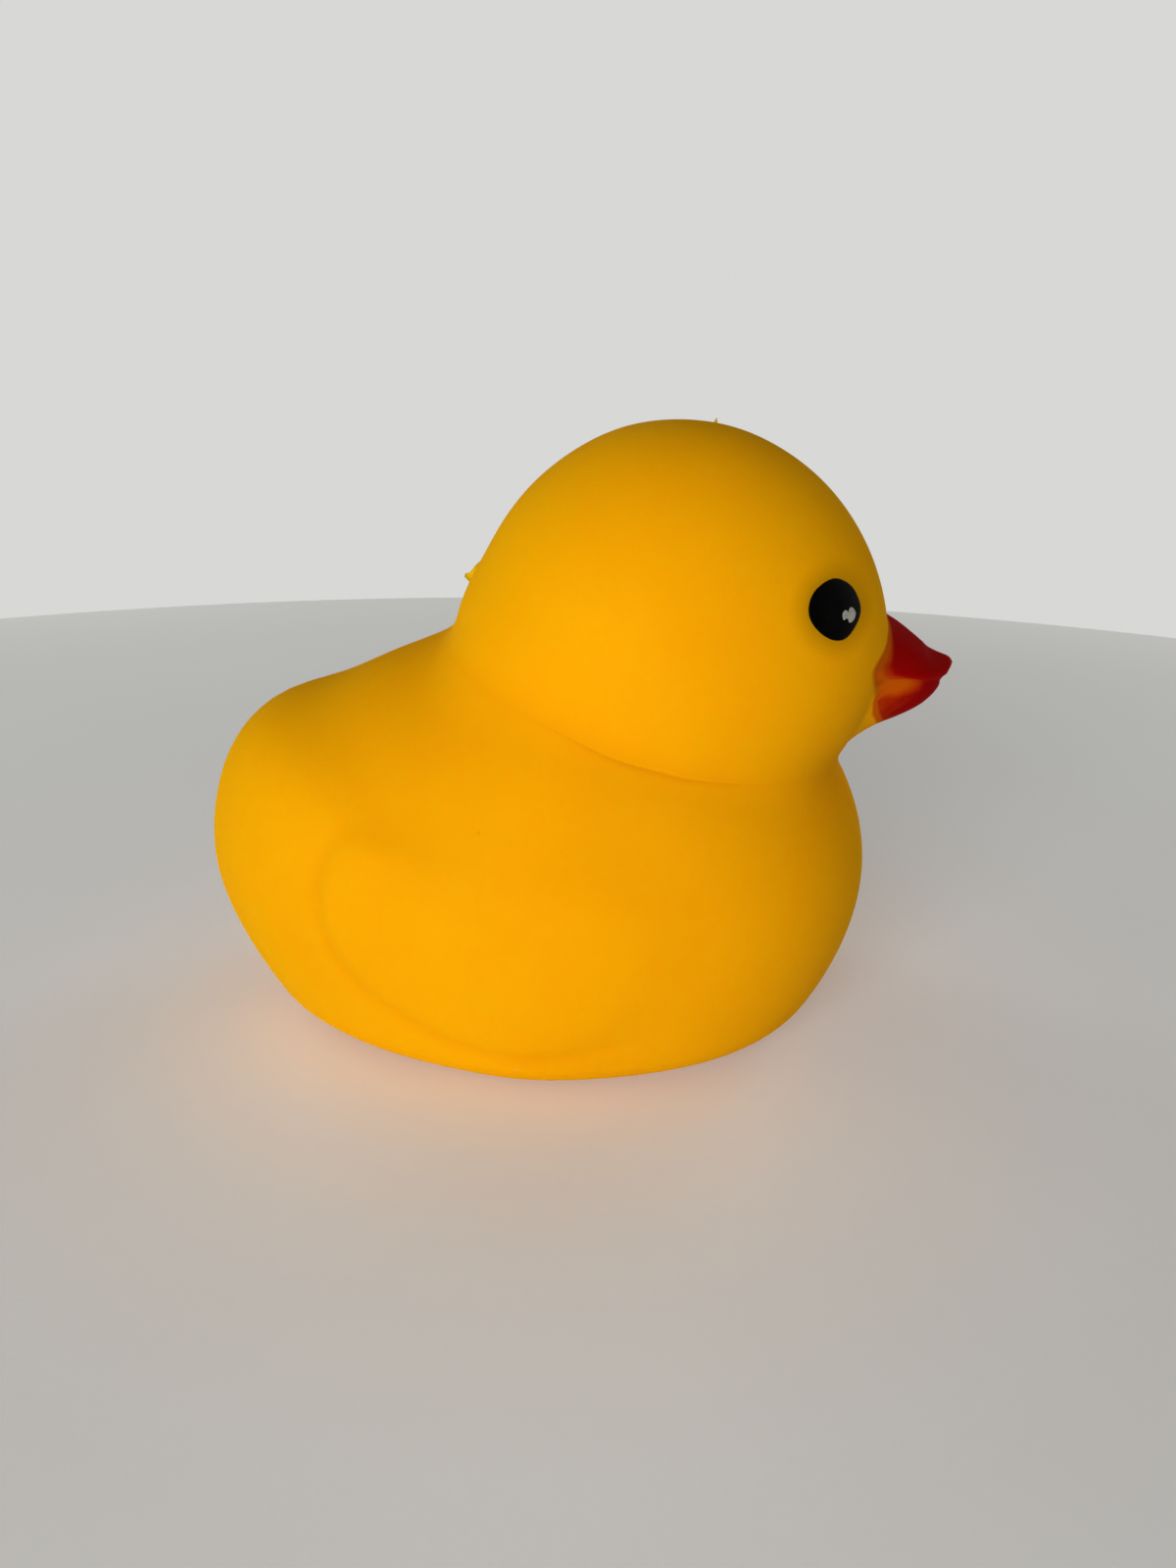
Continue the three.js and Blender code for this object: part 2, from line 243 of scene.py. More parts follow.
def reach_of(points, centre, blur=0):
    """Distance from the centre to the outline in any direction, with its corners eased."""
    loop = smooth_loop(points) - np.asarray(centre)
    turns = np.linspace(-np.pi, np.pi, len(loop), endpoint=False)
    reach = np.interp(turns, np.arctan2(loop[:, 1], loop[:, 0]), np.hypot(*loop.T), period=2 * np.pi)
    waves = np.fft.rfft(reach)
    easing = np.exp(-0.5 * (np.arange(len(waves)) * math.radians(blur)) ** 2)
    eased = np.fft.irfft(waves * easing, len(reach))
    return lambda angle: np.interp(angle, turns, eased, period=2 * np.pi)


def polar(x, z, centre):
    dx, dz = x - centre[0], z - centre[1]
    return np.hypot(dx, dz), np.arctan2(dz, dx)


def line_height(points):
    """Height of an open line at any x, as a smooth curve through its points."""
    line = np.asarray(points, float)
    guide_before = 2 * line[:1] - line[1:2]
    guide_after = 2 * line[-1:] - line[-2:-1]
    loop = smooth_loop(np.concatenate([guide_before, line, guide_after]))
    curve = loop[LOOP_STEPS:len(line) * LOOP_STEPS + 1]
    return lambda x: np.interp(x, curve[:, 0], curve[:, 1])


# Forms: each tells which points it holds

class SwollenForm:
    """Rounded form from a side outline, swollen to a half width that grows or shrinks along x."""

    def __init__(self, outline, centre, half_width, fullness, widening):
        self.reach = reach_of(outline, centre, LOOP_BLUR)
        self.centre = centre
        self.half_width = half_width
        self.fullness = fullness
        self.widening = widening

    def spread(self, x, z):
        distance, angle = polar(x, z, self.centre)
        return distance / self.reach(angle)

    def width_at(self, x):
        return self.half_width * (1 + self.widening * (x - self.centre[0]))

    def holds(self, points):
        x, y, z = np.moveaxis(points, -1, 0)
        return self.spread(x, z) ** self.fullness + (np.abs(y) / self.width_at(x)) ** self.fullness < 1

    def side_at(self, x, z):
        level = np.maximum(1 - self.spread(x, z) ** self.fullness, 0)
        return self.width_at(x) * level ** (1 / self.fullness)


body = SwollenForm(BODY_OUTLINE, BODY_CENTRE, BODY_HALF_WIDTH, BODY_FULLNESS, BODY_WIDENING)
head = SwollenForm(HEAD_OUTLINE, HEAD_CENTRE, HEAD_HALF_WIDTH, HEAD_FULLNESS, HEAD_WIDENING)
ridge_height = line_height(UPPER_RIDGE)
chin_height = line_height(LOWER_CHIN)


def mouth_height(y):
    """The mouth sinks from the cheeks to the tip of the beak."""
    share = np.minimum(np.abs(y) / MOUTH_SIDE_Y, 1)
    return blend(MOUTH_TIP, MOUTH_SIDE, np.sin(share * np.pi / 2))


def bill_width(x, tip, half_width):
    share = np.clip((x - BEAK_ROOT) / (tip - BEAK_ROOT), 0, 1)
    return half_width * (1 - share**BEAK_TAPER) ** (1 / BEAK_POINT)


def bill_level(across, width, rise, height, bulge):
    """Below 1 inside half a curved section."""
    level = (across / np.maximum(width, TINY)) ** bulge
    level = level + (np.maximum(rise, 0) / np.maximum(height, TINY)) ** bulge
    return np.where(width > TINY, np.minimum(level, BEAK_OUTSIDE), BEAK_OUTSIDE)


def beak_holds(points):
    x, y, z = np.moveaxis(points, -1, 0)
    across, mouth = np.abs(y), mouth_height(y)
    upper_tip = UPPER_TIP - TIP_SLANT * smooth_step(z, TIP_LIP, MOUTH_TIP)
    upper_width = bill_width(x, upper_tip, UPPER_HALF_WIDTH)
    lower_width = bill_width(x, LOWER_TIP, LOWER_HALF_WIDTH)
    upper = bill_level(across, upper_width, z - mouth, ridge_height(x) - mouth, UPPER_PEAK)
    lower = bill_level(across, lower_width, mouth - z, mouth - chin_height(x), LOWER_ROUND)
    return blend(lower, upper, smooth_step(z - mouth, -MOUTH_LIP, MOUTH_LIP)) < 1


# Skin: rays leave the neck's centre and stop at the outermost form

def ray_at(azimuth, elevation):
    lean = math.radians(NECK_LEAN)
    forward = np.array((math.cos(lean), 0, -math.sin(lean)))
    upward = np.array((math.sin(lean), 0, math.cos(lean)))
    side = np.array((0, 1, 0))
    level = np.cos(elevation)[..., None]
    return (
        level * np.cos(azimuth)[..., None] * forward
        + level * np.sin(azimuth)[..., None] * side
        + np.sin(elevation)[..., None] * upward
    )


def exit_along(holds, rays, start):
    """Distance along each ray, past its start, at which it leaves a form."""
    inner, outer = start.copy(), np.full(start.shape, float(FAR))
    for _ in range(SEARCH_STEPS):
        middle = (inner + outer) / 2
        inside = holds(NECK_CENTRE + middle[..., None] * rays)
        inner = np.where(inside, middle, inner)
        outer = np.where(inside, outer, middle)
    return inner


def swollen_exit(form, rays):
    return exit_along(form.holds, rays, np.zeros(rays.shape[:-1]))


def beak_exit(rays):
    """The beak's root section runs back through the head, close to the neck's centre."""
    ahead = rays[..., 0]
    start = (BEAK_SEARCH_X - NECK_CENTRE[0]) / np.maximum(ahead, BEAK_RAYS_FORWARD)
    crosses = (ahead > BEAK_RAYS_FORWARD) & beak_holds(NECK_CENTRE + start[..., None] * rays)
    return np.where(crosses, exit_along(beak_holds, rays, start), 0)


def floor_along(rays):
    """Distance along each ray to the plane that the duck stands on."""
    downward = np.minimum(rays[..., 2], -TINY)
    return np.where(rays[..., 2] < -TINY, -NECK_CENTRE[2] / downward, FAR)


def soft_max(a, b, softness):
    overlap = np.maximum(softness - np.abs(a - b), 0)
    return np.maximum(a, b) + overlap**2 / (4 * softness)


def soft_min(a, b, softness):
    return -soft_max(-a, -b, softness)


def neck_softness(azimuth):
    """The crease is soft at the cheeks and behind, and sharper in between."""
    return NECK_SOFTNESS + sum_of_bumps(np.abs(np.degrees(azimuth)), NECK_SOFTER)


def skin_points(azimuth, elevation):
    """Points of the skin and their distances from the neck's centre."""
    rays = ray_at(azimuth, elevation)
    body_length, head_length = swollen_exit(body, rays), swollen_exit(head, rays)
    face_height = NECK_CENTRE[2] + head_length * rays[..., 2]
    beak_softness = np.interp(face_height, BEAK_SOFTNESS_Z, BEAK_SOFTNESS)
    length = soft_max(body_length, head_length, neck_softness(azimuth))
    length = soft_max(length, beak_exit(rays), beak_softness)
    length = soft_min(length, floor_along(rays), UNDERSIDE_SOFTNESS)
    return NECK_CENTRE + length[..., None] * rays, length


def crease_elevation(azimuth):
    """Elevation at which the head comes out of the body, found by halving."""
    low, high = np.full(azimuth.shape, -np.pi / 4), np.full(azimuth.shape, np.pi / 4)
    for _ in range(SEARCH_STEPS):
        middle = (low + high) / 2
        rays = ray_at(azimuth, middle)
        above = swollen_exit(head, rays) > swollen_exit(body, rays)
        high = np.where(above, middle, high)
        low = np.where(above, low, middle)
    return low


def spaced(low, high, count, stretches):
    """Values from low to high that lie closer together in the stretches."""
    fine = np.linspace(low, high, SPACING_STEPS)
    weight = 1 + sum_of_bumps(fine, stretches)
    mass = np.concatenate([[0], np.cumsum((weight[1:] + weight[:-1]) / 2)])
    return np.interp(np.linspace(0, mass[-1], count), mass, fine)


def skin_columns():
    """Azimuths from the beak round both sides, closer at the beak and along the wings."""
    left = spaced(0, np.pi, COLUMNS // 2 + 1, (BEAK_COLUMNS, WING_COLUMNS, TAIL_COLUMNS))
    return np.concatenate([left, -left[-2:0:-1]])


def skin_rows(azimuth, crease):
    """Elevations of one column, closer at the crease, and over the beak and its mouth in front."""
    front = bump_at(azimuth, 0, FRONT_SPAN)
    at_crease = (crease, *CREASE_ROWS)
    in_front = [(middle, span, gain * front) for middle, span, gain in (BEAK_ROWS, MOUTH_ROWS)]
    lower = spaced(-np.pi / 2, crease, ROWS_BELOW + 1, [at_crease])
    upper = spaced(crease, np.pi / 2, ROWS_ABOVE + 1, [at_crease, *in_front])
    return np.concatenate([lower, upper[1:]])


def skin_grid():
    """Azimuths and elevations of the skin's points, apart from its two ends, and of the crease."""
    azimuths = skin_columns()
    creases = crease_elevation(azimuths)
    elevations = np.stack([skin_rows(a, c) for a, c in zip(azimuths, creases)], axis=1)[1:-1]
    return np.broadcast_to(azimuths, elevations.shape), elevations, creases


def grid_normals(points):
    along = np.roll(points, -1, axis=1) - np.roll(points, 1, axis=1)
    up = np.gradient(points, axis=0)
    normals = np.cross(along, up)
    return normals / np.maximum(np.linalg.norm(normals, axis=-1, keepdims=True), TINY)


# Relief and paint on the skin

def wing_relief(x, z, on_body):
    """Height of the wing pads, and 1 in the valley along their crisp edge."""
    reach = reach_of(WING_OUTLINE, WING_CENTRE, LOOP_BLUR)
    distance, angle = polar(x, z, WING_CENTRE)
    inside = reach(angle) - distance
    crisp = 0.5 + 0.5 * np.cos(angle - math.radians(WING_CRISP_SIDE))
    edge = blend(WING_EDGE_SOFT, WING_EDGE_CRISP, smooth_step(crisp, *WING_CRISP_SHARES))
    share = np.clip(distance / reach(angle), 0, 1)
    pad = blend(WING_RISE, WING_RIM, share**2) * smooth_step(inside, -edge / 2, edge / 2)
    valley = bump_at(inside, -WING_EDGE_CRISP / 2, WING_EDGE_CRISP / 2)
    valley = valley * smooth_step(crisp, *WING_VALLEY_SHARES)
    return (pad - WING_VALLEY * valley) * on_body, valley * on_body


def mouth_groove(x, y, z):
    """1 in the middle of the groove between the bills, 0 beside it."""
    narrow = smooth_step(x, *MOUTH_GAP_X)
    half_gap = blend(MOUTH_GAP_CORNER, MOUTH_GAP_TIP, narrow) / 2
    offset = (z - mouth_height(y)) / half_gap
    edge = np.where(offset > 0, MOUTH_EDGE_UPPER, MOUTH_EDGE_LOWER)
    shallow = blend(1, MOUTH_DEPTH_TIP / MOUTH_DEPTH, narrow)
    return np.exp(-np.abs(offset) ** edge) * shallow * smooth_step(x, *MOUTH_CORNER_X)


def wrinkle_mask(azimuth, off_crease):
    line = np.exp(-np.abs(off_crease / WRINKLE_WIDTH))
    return line * sum_of_bumps(np.degrees(azimuth), WRINKLE_STRETCHES)


def paint_coats(x, y, z):
    """Shares of the first coat, which has a soft edge, and of the second, which builds up slowly.

    Both run on below 0 and above 1, so that the finish can set sharp limits between the points.
    """
    start = reach_of(mirrored(PAINT_START), PAINT_CENTRE)
    full = reach_of(mirrored(PAINT_FULL), PAINT_CENTRE)
    distance, angle = polar(y, z, PAINT_CENTRE)
    inside, build = start(angle) - distance, start(angle) - full(angle)
    feather = blend(PAINT_FEATHER, PAINT_FEATHER_LOW, smooth_step(z, *PAINT_LOW_Z))
    first = np.where(x > BEAK_ROOT, inside / np.minimum(feather, build), BARE)
    second = np.where(x > BEAK_ROOT, inside / build, BARE)
    return np.maximum(first, BARE), np.maximum(second, BARE)


def eye_distance(x, y, z):
    """Distance from the eye's edge as seen from the side, negative inside."""
    distance, angle = polar(x, z, EYE_CENTRE)
    outside = distance - reach_of(EYE_OUTLINE, EYE_CENTRE)(angle)
    return np.where(np.abs(y) > EYE_SIDE_Y, outside, FAR)


# Meshes

PLAIN_SKIN = {"first_coat": BARE, "second_coat": BARE, "groove": 0, "painted_fold_shade": 0, "eye_distance": FAR}


def new_piece(name, points, faces, values=None):
    """Mesh object from points in millimetres, with named values at its points."""
    mesh = bpy.data.meshes.new(name)
    mesh.from_pydata((np.asarray(points) * MM).tolist(), [], faces)
    for label, value in (values or {}).items():
        layer = mesh.attributes.new(label, "FLOAT", "POINT")
        layer.data.foreach_set("value", np.asarray(value, np.float32).ravel())
    mesh.shade_smooth()
    piece = bpy.data.objects.new(name, mesh)
    bpy.context.scene.collection.objects.link(piece)
    return piece


def grid_faces(rows, columns):
    faces = []
    for row in range(rows - 1):
        for column in range(columns):
            beside = (column + 1) % columns
            faces.append((row * columns + column, row * columns + beside,
                          (row + 1) * columns + beside, (row + 1) * columns + column))
    return faces


def skin_faces(rows, columns):
    """Rows of faces, closed by a fan of triangles at the lower and the upper end."""
    low, high = rows * columns, rows * columns + 1
    last = (rows - 1) * columns
    faces = grid_faces(rows, columns)
    faces += [(low, (c + 1) % columns, c) for c in range(columns)]
    faces += [(high, last + c, last + (c + 1) % columns) for c in range(columns)]
    return faces


def make_skin():
    """Head, body, wings and beak as one skin, with the values that its finish reads."""
    azimuths, elevations, creases = skin_grid()
    points, length = skin_points(azimuths, elevations)
    x, y, z = np.moveaxis(points, -1, 0)
    off_crease = (elevations - creases) * length
    on_body = (elevations < creases).astype(float)

    wing, wing_valley = wing_relief(x, z, on_body)
    groove = mouth_groove(x, y, z)
    wrinkle = wrinkle_mask(azimuths, off_crease)
    relief = wing - MOUTH_DEPTH * groove - WRINKLE_DEPTH * wrinkle
    points = points + relief[..., None] * grid_normals(points)
    points[..., 2] = np.maximum(points[..., 2], 0)
    ends = skin_points(np.zeros(2), np.array((-np.pi / 2, np.pi / 2)))[0]

    first_coat, second_coat = paint_coats(x, y, z)
    # Painted shade: the crease, the wrinkle and the wing's valley are darkened towards orange
    crease_shade = FOLD_SHADE_CREASE * np.exp(-np.abs(off_crease) / FOLD_SHADE_CREASE_WIDTH)
    values = {
        "first_coat": first_coat,
        "second_coat": second_coat,
        "groove": groove,
        "painted_fold_shade": np.clip(wrinkle + crease_shade + FOLD_SHADE_WING * wing_valley, 0, 1),
        "eye_distance": eye_distance(x, y, z),
    }
    values = {name: np.append(value.ravel(), [PLAIN_SKIN[name]] * 2) for name, value in values.items()}
    every = np.concatenate([points.reshape(-1, 3), ends])
    return new_piece("duck_skin", every, skin_faces(*elevations.shape), values)


def print_patch(name, outline, centre, side, ground, thickness):
    """Thin raised print on the side of the face. The ground gives the side it lies on."""
    reach = reach_of(outline, centre)
    turns = np.linspace(-np.pi, np.pi, PRINT_SEGMENTS, endpoint=False)
    shares = np.linspace(PRINT_FIRST_RING, 1, PRINT_RINGS - 1)
    rings = [(share, thickness * (1 - share**PRINT_LEVEL)) for share in shares]
    points = []
    for share, height in [*rings, (PRINT_SKIRT, -PRINT_ROOT)]:
        x = centre[0] + share * reach(turns) * np.cos(turns)
        z = centre[1] + share * reach(turns) * np.sin(turns)
        points.append(np.stack([x, side * (ground(x, z) + height), z], axis=-1))
    middle = (centre[0], side * (ground(*centre) + thickness), centre[1])
    every = np.concatenate([*points, [middle]])
    faces = [face[::-1] for face in grid_faces(PRINT_RINGS, PRINT_SEGMENTS)]
    faces += [(len(every) - 1, c, (c + 1) % PRINT_SEGMENTS) for c in range(PRINT_SEGMENTS)]
    if side > 0:
        faces = [face[::-1] for face in faces]
    return new_piece(name, every, faces)


def eye_ground(x, z):
    """Side of the face, slightly domed under the eye."""
    distance, angle = polar(x, z, EYE_CENTRE)
    share = np.minimum(distance / reach_of(EYE_OUTLINE, EYE_CENTRE)(angle), 1)
    return head.side_at(x, z) + EYE_DOME * (1 - share**2)


def dab_ground(x, z):
    return eye_ground(x, z) + EYE_THICKNESS


def make_burrs():
    """Thin blades on the middle line, thickest at their middles."""
    points, faces = [], []
    for (x, z), way, outline in BURRS:
        out = np.array((math.cos(math.radians(way)), math.sin(math.radians(way))))
        along = np.array((out[1], -out[0]))
        loop = np.asarray([np.array((x, z)) + a * along + h * out for a, h in outline])
        middle = loop.mean(axis=0)
        start, count = len(points), len(loop)
        points += [(px, 0, pz) for px, pz in loop]
        points += [(middle[0], side * BURR_HALF_THICKNESS, middle[1]) for side in (-1, 1)]
        for i in range(count):
            here, beside = start + i, start + (i + 1) % count
            faces += [(beside, here, start + count), (here, beside, start + count + 1)]
    values = {name: np.full(len(points), value) for name, value in PLAIN_SKIN.items()}
    return new_piece("mould_burrs", points, faces, values)


# Node helpers

def put(tree, socket, value):
    """Links a socket to another node's output, or sets its value."""
    if isinstance(value, bpy.types.NodeSocket):
        tree.links.new(value, socket)
    else:
        socket.default_value = value


def add_node(tree, kind, inputs=None, **settings):
    node = tree.nodes.new(kind)
    for key, value in settings.items():
        setattr(node, key, value)
    for key, value in (inputs or {}).items():
        put(tree, node.inputs[key], value)
    return node


def math_node(tree, operation, first, second):
    return add_node(tree, "ShaderNodeMath", {0: first, 1: second}, operation=operation).outputs[0]


def remap(tree, value, low, high, to_low=0.0, to_high=1.0, smooth=True):
    """Maps a value from one range to another, and holds it within that."""
    node = add_node(tree, "ShaderNodeMapRange", interpolation_type="SMOOTHSTEP" if smooth else "LINEAR")
    for socket, part in zip(node.inputs, (value, low, high, to_low, to_high)):
        put(tree, socket, part)
    return node.outputs[0]


def mix_colours(tree, share, first, second):
    """Sockets 0, 6 and 7 of a Mix node are its share and two colours, and 2 is the colour it gives."""
    node = add_node(tree, "ShaderNodeMix", data_type="RGBA")
    put(tree, node.inputs[0], share)
    put(tree, node.inputs[6], first)
    put(tree, node.inputs[7], second)
    return node.outputs[2]


def attribute(tree, name):
    return add_node(tree, "ShaderNodeAttribute", attribute_name=name).outputs["Fac"]


def coordinate(tree, place, axis):
    return add_node(tree, "ShaderNodeSeparateXYZ", {"Vector": place}).outputs[axis]


def noise(tree, place, scale, detail=2.0, roughness=0.5):
    inputs = {"Vector": place, "Scale": scale, "Detail": detail, "Roughness": roughness}
    return add_node(tree, "ShaderNodeTexNoise", inputs).outputs["Fac"]


def new_group(name, inputs, output):
    group = bpy.data.node_groups.new(name, "ShaderNodeTree")
    for label, kind, value in inputs:
        socket = group.interface.new_socket(label, in_out="INPUT", socket_type=kind)
        if value is not None:
            socket.default_value = value
    group.interface.new_socket(output, in_out="OUTPUT", socket_type="NodeSocketFloat")
    given = group.nodes.new("NodeGroupInput").outputs
    result = group.nodes.new("NodeGroupOutput").inputs[output]
    return group, given, result


def place_group(tree, group, inputs):
    node = tree.nodes.new("ShaderNodeGroup")
    node.node_tree = group
    for key, value in inputs.items():
        put(tree, node.inputs[key], value)
    return node.outputs[0]


# Effects that several finishes share

COARSE_GRAINS = 0.22  # larger grains: their number and height as shares of the fine ones
COARSE_HEIGHT = 0.6
NOISE_SPAN = (0.32, 0.68)  # most of a noise lies between these two
LINT_SIZE = 0.06  # radius of the largest speck, as a share of its cell


def make_grain_group():
    """Fine matte grain of the mould: height from small grains with larger ones under them."""
    group, given, result = new_group("mould_grain", (
        ("Vector", "NodeSocketVector", None), ("Grains", "NodeSocketFloat", 2500.0)), "Height")
    fine = noise(group, given["Vector"], given["Grains"], detail=3.0, roughness=0.6)
    coarse = noise(group, given["Vector"], math_node(group, "MULTIPLY", given["Grains"], COARSE_GRAINS))
    put(group, result, math_node(group, "ADD", math_node(group, "MULTIPLY", coarse, COARSE_HEIGHT), fine))
    return group


def make_drift_group():
    """Slow change over the surface, between a low and a high value."""
    group, given, result = new_group("tone_drift", (
        ("Vector", "NodeSocketVector", None), ("Patches", "NodeSocketFloat", 40.0),
        ("Low", "NodeSocketFloat", 0.0), ("High", "NodeSocketFloat", 1.0)), "Value")
    wave = noise(group, given["Vector"], given["Patches"], detail=3.0, roughness=0.55)
    put(group, result, remap(group, wave, *NOISE_SPAN, given["Low"], given["High"]))
    return group


def make_lint_group():
    """Scattered specks of dust: a share of the cells holds one, of different sizes."""
    group, given, result = new_group("lint_specks", (
        ("Vector", "NodeSocketVector", None), ("Specks", "NodeSocketFloat", 300.0),
        ("Share", "NodeSocketFloat", 0.2)), "Mask")
    cells = add_node(group, "ShaderNodeTexVoronoi", {"Vector": given["Vector"], "Scale": given["Specks"]})
    chance = add_node(group, "ShaderNodeSeparateColor", {"Color": cells.outputs["Color"]}).outputs[0]
    lowest = math_node(group, "SUBTRACT", 1.0, given["Share"])
    size = math_node(group, "MULTIPLY", remap(group, chance, lowest, 1.0), LINT_SIZE)
    put(group, result, math_node(group, "LESS_THAN", cells.outputs["Distance"], size))
    return group


GRAIN = make_grain_group()
DRIFT = make_drift_group()
LINT = make_lint_group()


def grain_normal(tree, place, grains, depth, strength):
    height = place_group(tree, GRAIN, {"Vector": place, "Grains": grains})
    inputs = {"Height": height, "Distance": depth * MM, "Strength": strength}
    return add_node(tree, "ShaderNodeBump", inputs).outputs["Normal"]


def drift_colours(tree, place, first, second, patches):
    drift = place_group(tree, DRIFT, {"Vector": place, "Patches": patches})
    return mix_colours(tree, drift, first, second)


def drift_roughness(tree, place, patches, low, high):
    return place_group(tree, DRIFT, {"Vector": place, "Patches": patches, "Low": low, "High": high})


def lint_over(tree, place, colour, specks, share, strength, pale):
    lint = place_group(tree, LINT, {"Vector": place, "Specks": specks, "Share": share})
    return mix_colours(tree, math_node(tree, "MULTIPLY", lint, strength), colour, pale)


def new_finish(name):
    material = bpy.data.materials.new(name)
    material.use_nodes = True
    tree = material.node_tree
    tree.nodes.clear()
    shader = tree.nodes.new("ShaderNodeBsdfPrincipled")
    output = tree.nodes.new("ShaderNodeOutputMaterial")
    tree.links.new(shader.outputs["BSDF"], output.inputs["Surface"])
    place = tree.nodes.new("ShaderNodeTexCoord").outputs["Object"]
    return material, tree, shader, place


# Finishes, with colours as linear shares of red, green and blue

AMBER = (0.95, 0.42, 0.0005, 1)
AMBER_DEEP = (0.93, 0.395, 0.0005, 1)
# Painted shade: the orange that darkens the foam in its folds
FOLD_SHADE_ORANGE = (0.72, 0.22, 0.001, 1)
FOLD_SHADE_SHARE = 0.22
EYE_SHADE_BROWN = (0.16, 0.07, 0.001, 1)
EYE_SHADE_DISTANCES = (3.0, -0.6)  # painted shade round an eye, where the black ink takes light from the foam beside it, builds up between these two
EYE_SHADE_SHARE = 0.38
STAIN_BROWN = (0.35, 0.13, 0.001, 1)
STAIN_SHARE = 0.35
LINT_PALE = (0.95, 0.62, 0.16, 1)
FOAM_SCATTER = (1.0, 0.4, 0.08)

SPRAY_ORANGE = (0.58, 0.10, 0.001, 1)
SPRAY_SCARLET = (0.42, 0.022, 0.001, 1)
SPRAY_RED = (0.31, 0.001, 0.001, 1)
# Painted light shining through the thin tip of the beak
TIP_GLOW_ROSE = (0.42, 0.13, 0.10, 1)
TIP_GLOW_SHARE = 0.35
COATS_COVER = (0.0, 0.4)  # shares of paint between which it covers the foam, then turns scarlet and red
COATS_SCARLET = (0.6, 0.92)
COATS_RED = (0.85, 0.97)
MIST_SPECKS = 700.0
MIST_SHARE = 0.1
MOUTH_THINNING = 0.2

INK_BLACK = (0.0006, 0.0006, 0.0006, 1)
INK_WORN = (0.002, 0.0018, 0.0016, 1)
INK_DUST = (0.3, 0.25, 0.2, 1)
DAB_PALE = (0.40, 0.40, 0.35, 1)
DAB_DULL = (0.27, 0.27, 0.24, 1)
PAPER_PALE = (0.92, 0.945, 0.95, 1)
PAPER_DULL = (0.89, 0.915, 0.92, 1)
PAPER_GLOW_COLOUR = (0.85, 1, 1.1, 1)
PAPER_GLOW = 0.12


def paint_thickness(tree, place):
    """Both coats of spray together, misted, and thinner in the groove of the mouth."""
    high, low = (z * MM for z in PAINT_LOW_Z)
    first_full = remap(
        tree, coordinate(tree, place, "Z"), high, low, PAINT_FIRST_COAT, PAINT_FIRST_COAT_LOW)
    second_full = math_node(tree, "SUBTRACT", 1.0, first_full)
    first = remap(tree, attribute(tree, "first_coat"), -1.0, 1.0, -1.0, 1.0, smooth=False)
    second = remap(tree, attribute(tree, "second_coat"), 0.0, 1.0, smooth=False)
    first = math_node(tree, "MULTIPLY", first, first_full)
    second = math_node(tree, "MULTIPLY", second, second_full)
    mist = math_node(tree, "SUBTRACT", noise(tree, place, MIST_SPECKS, detail=3.0), 0.5)
    coats = math_node(tree, "ADD", first, second)
    coats = math_node(tree, "ADD", coats, math_node(tree, "MULTIPLY", mist, MIST_SHARE))
    thinning = math_node(tree, "MULTIPLY", attribute(tree, "groove"), MOUTH_THINNING)
    return math_node(tree, "MULTIPLY", coats, math_node(tree, "SUBTRACT", 1.0, thinning))


def spray_colour(tree, place, coats):
    """Orange where the spray is thin, then scarlet and red, with painted light making the tip paler."""
    colour = mix_colours(tree, remap(tree, coats, *COATS_SCARLET), SPRAY_ORANGE, SPRAY_SCARLET)
    colour = mix_colours(tree, remap(tree, coats, *COATS_RED), colour, SPRAY_RED)
    tip = (x * MM for x in TIP_GLOW_X)
    # Painted light: the tip is made paler and rosier
    tip_glow = remap(tree, coordinate(tree, place, "X"), *tip, 0.0, TIP_GLOW_SHARE)
    return mix_colours(tree, tip_glow, colour, TIP_GLOW_ROSE)


def stain_mask(tree, place):
    middle = [part * MM for part in STAIN_PLACE]
    away = add_node(tree, "ShaderNodeVectorMath", {0: place, 1: middle}, operation="DISTANCE")
    return remap(tree, away.outputs["Value"], STAIN_RADIUS * MM, 0.0, 0.0, STAIN_SHARE)


def foam_colour(tree, place):
    """Amber, darkened with painted shade in the folds and round the eyes, with the stain and a little
    lint.
    """
    colour = drift_colours(tree, place, AMBER, AMBER_DEEP, patches=45.0)
    # Painted shade in the crease, the wrinkle and the wing's valley
    painted_fold_shade = math_node(tree, "MULTIPLY", attribute(tree, "painted_fold_shade"), FOLD_SHADE_SHARE)
    colour = mix_colours(tree, painted_fold_shade, colour, FOLD_SHADE_ORANGE)
    # Painted shade round the eyes, where the foam beside the black ink gets less light
    eye_shade = remap(tree, attribute(tree, "eye_distance"), *EYE_SHADE_DISTANCES, 0.0, EYE_SHADE_SHARE)
    colour = mix_colours(tree, eye_shade, colour, EYE_SHADE_BROWN)
    colour = mix_colours(tree, stain_mask(tree, place), colour, STAIN_BROWN)
    return lint_over(tree, place, colour, specks=260.0, share=0.05, strength=0.35, pale=LINT_PALE)


def make_foam_skin():
    material, tree, shader, place = new_finish("foam_skin")
    coats = paint_thickness(tree, place)
    cover = remap(tree, coats, *COATS_COVER)
    colour = mix_colours(tree, cover, foam_colour(tree, place), spray_colour(tree, place, coats))
    put(tree, shader.inputs["Base Color"], colour)
    put(tree, shader.inputs["Roughness"], drift_roughness(tree, place, patches=90.0, low=0.70, high=0.82))
    put(tree, shader.inputs["Normal"], grain_normal(tree, place, grains=2600.0, depth=0.06, strength=0.35))
    shader.inputs["Subsurface Weight"].default_value = 0.5
    shader.inputs["Subsurface Radius"].default_value = FOAM_SCATTER
    shader.inputs["Subsurface Scale"].default_value = 0.003
    shader.inputs["Specular IOR Level"].default_value = 0.015
    return material


